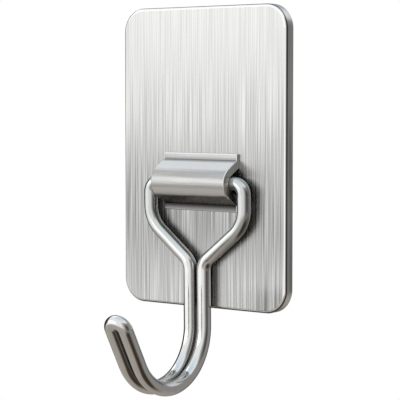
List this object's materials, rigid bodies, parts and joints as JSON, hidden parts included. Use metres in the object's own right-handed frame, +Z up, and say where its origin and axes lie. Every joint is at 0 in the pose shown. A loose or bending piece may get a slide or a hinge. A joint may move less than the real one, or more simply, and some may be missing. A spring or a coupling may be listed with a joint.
{
  "type": "adhesive wall hook",
  "caption": "Adhesive wall hook: a round-cornered brushed plate that sticks to a wall, a welded strap, and a bent-wire J hook that swings in the strap.",
  "frame": {"origin": "middle of the adhesive's back face, on the wall", "axes": "+Y into the wall, +Z up the plate, the plate faces -Y"},
  "size_m": [0.06, 0.0465, 0.1136],
  "materials": {
    "brushed_plate": "vertical brushed grain",
    "board": "plain matt",
    "adhesive": "soft and tacky",
    "satin_strap": "satin",
    "polished_wire": "bright polished"
  },
  "bodies": {
    "wall_plate": {"face_plate": "brushed_plate", "backing_board": "board", "adhesive_pad": "adhesive", "hinge_strap": "satin_strap"},
    "hook": {"hook_wire": "polished_wire"}
  },
  "joints": [
    {"name": "hook_swing", "type": "hinge", "parent": "wall_plate", "child": "hook", "pos_m": [0, -0.007, -0.0072], "axis": [-1, 0, 0], "range_deg": [0, 135]}
  ]
}
